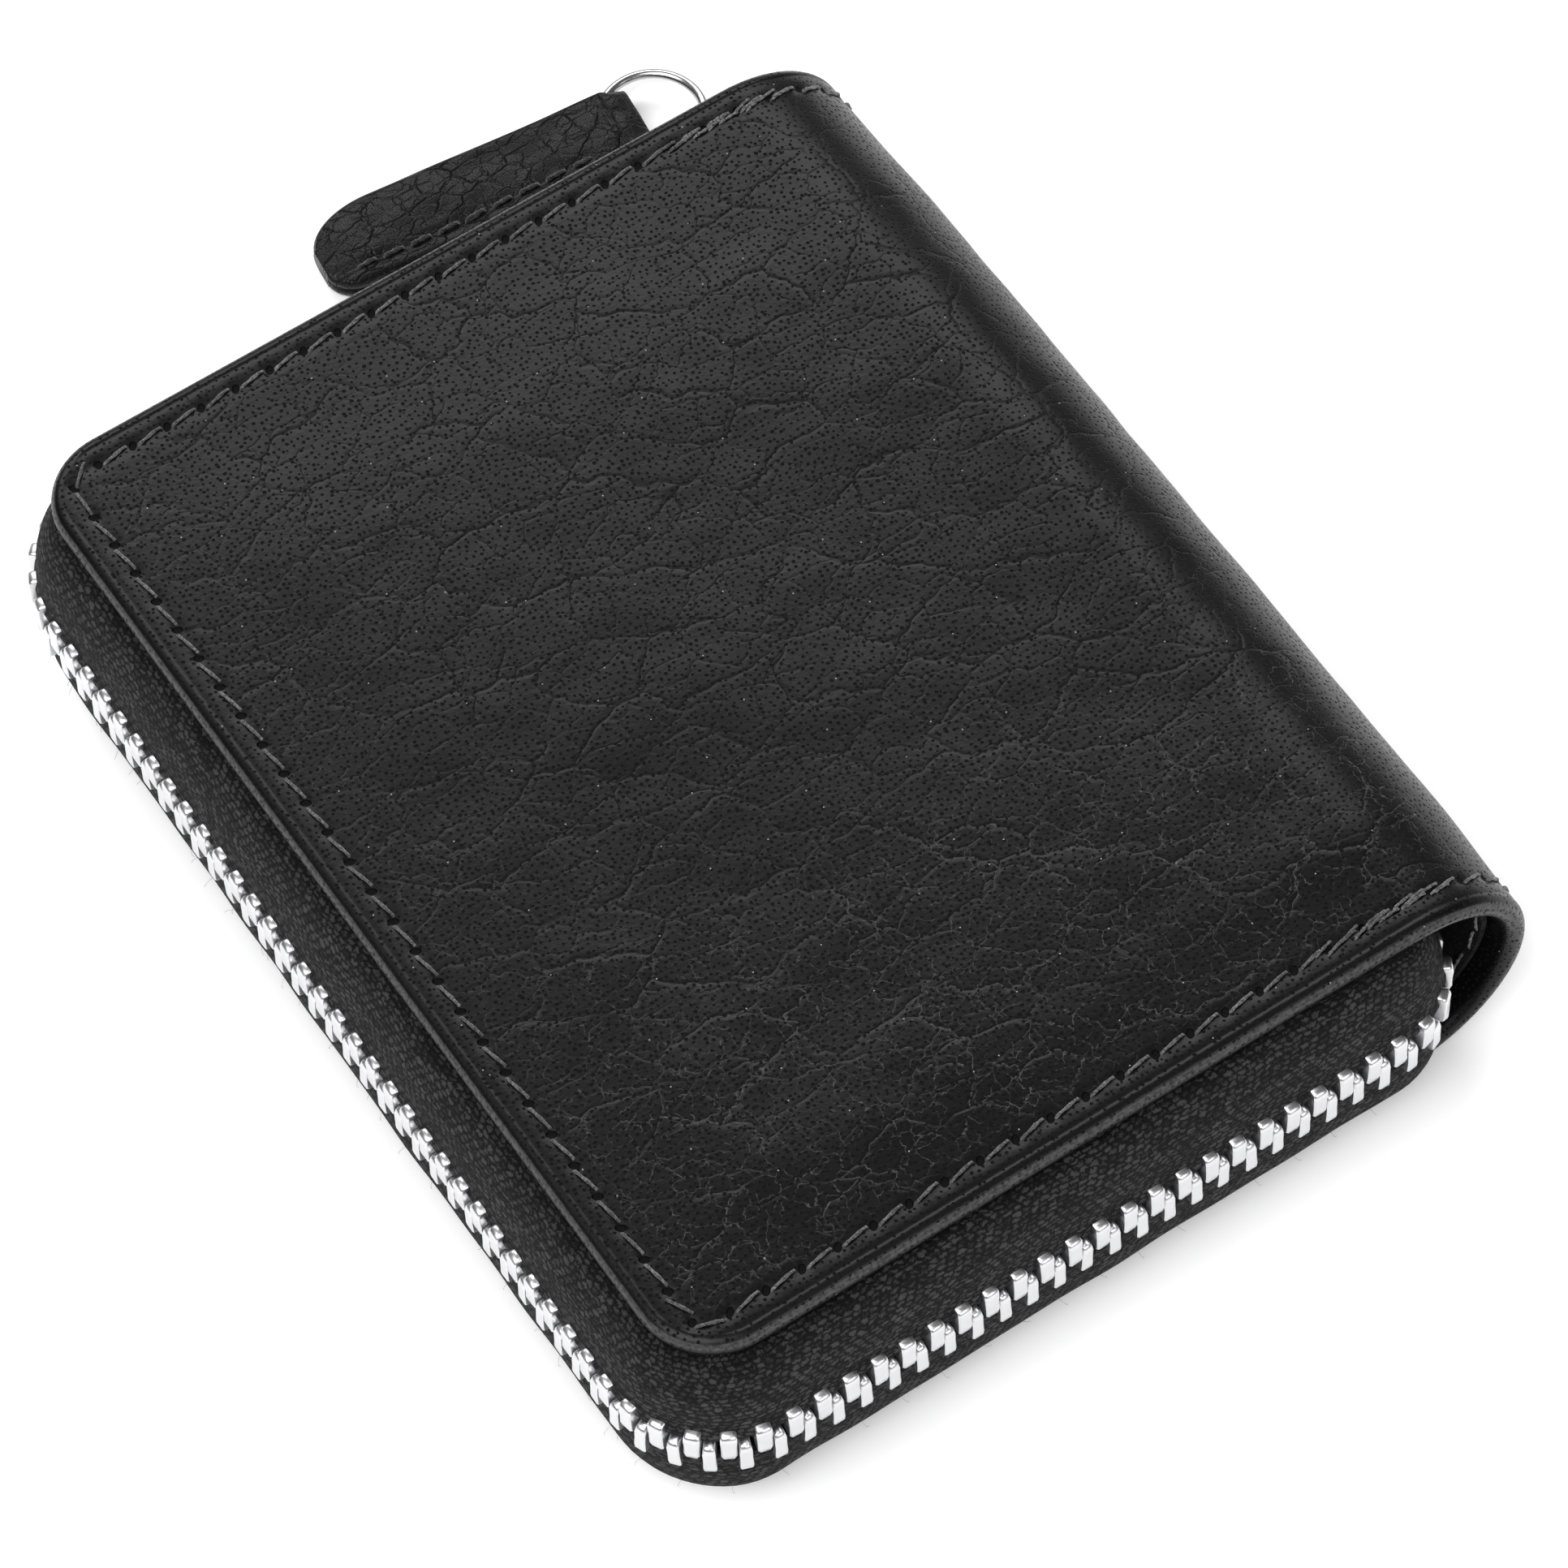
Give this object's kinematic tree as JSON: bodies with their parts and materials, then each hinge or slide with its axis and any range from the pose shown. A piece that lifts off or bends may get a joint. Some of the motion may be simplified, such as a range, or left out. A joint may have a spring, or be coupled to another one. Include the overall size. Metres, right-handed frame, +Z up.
{
  "type": "coin purse",
  "caption": "Small zip-around leather coin purse with a rounded spine, inner coin pocket and card slots, and a ring and leather tab on the zip slider.",
  "frame": {"origin": "middle of the back cover's outer face, which rests on the table", "axes": "+Z up from the back cover to the front cover, +Y along the long side towards the short side with the parked slider, +X from the long zip side to the spine"},
  "size_m": [0.0816, 0.1216, 0.0222],
  "materials": {
    "leather": "black full-grain leather with pores and creases, satin",
    "tab_leather": "black pebbled leather, satin",
    "lining": "black woven lining, matt",
    "zip_tape": "black herringbone woven tape, matt",
    "zip_teeth": "nickel-plated teeth, satin",
    "nickel": "bright nickel plate",
    "board": "fibre board, matt"
  },
  "bodies": {
    "back": {"back_cover": "leather", "back_board": "board", "back_lining": "lining", "lower_zip_tape": "zip_tape", "lower_teeth": "zip_teeth", "lower_top_stop": "zip_teeth", "bottom_stop": "zip_teeth", "coin_pocket_panel": "leather", "coin_gusset_near": "lining", "coin_gusset_far": "lining", "coin_gusset_bottom": "lining"},
    "spine": {"spine_cover": "leather", "spine_lining": "lining"},
    "front": {"front_cover": "leather", "front_board": "board", "front_lining": "lining", "upper_zip_tape": "zip_tape", "upper_teeth": "zip_teeth", "upper_top_stop": "zip_teeth", "card_slot_1": "leather", "card_slot_2": "leather", "card_slot_3": "leather"},
    "slider": {"slider_body": "nickel"},
    "link": {"pull_link": "nickel"},
    "ring": {"pull_ring": "nickel"},
    "tab": {"pull_tab": "tab_leather"}
  },
  "joints": [
    {"name": "spine_fold", "type": "hinge", "parent": "back", "child": "spine", "pos_m": [0.03662, 0, 0.00238], "axis": [0, 1, 0], "range_deg": [0, 90]},
    {"name": "front_fold", "type": "hinge", "parent": "spine", "child": "front", "pos_m": [0.03662, 0, 0.01982], "axis": [0, 1, 0], "range_deg": [0, 90]},
    {"name": "zip_slide", "type": "slide", "parent": "back", "child": "slider", "axis": [-1, 0, 0], "range_m": [0, 0.055]},
    {"name": "link_swing", "type": "hinge", "parent": "slider", "child": "link", "pos_m": [0.029, 0.05355, 0.0111], "axis": [1, 0, 0], "range_deg": [-8, 90]},
    {"name": "ring_swing", "type": "hinge", "parent": "link", "child": "ring", "pos_m": [0.029, 0.05783, 0.00195], "axis": [1, 0, 0], "range_deg": [-60, 45]},
    {"name": "tab_swing", "type": "hinge", "parent": "ring", "child": "tab", "pos_m": [0.0252, 0.06235, 0.00195], "axis": [0.1115, 0.9938, 0], "range_deg": [-25, 25]}
  ],
  "couplings": [
    {"joint": "front_fold", "follows": "spine_fold", "ratio": 1}
  ]
}
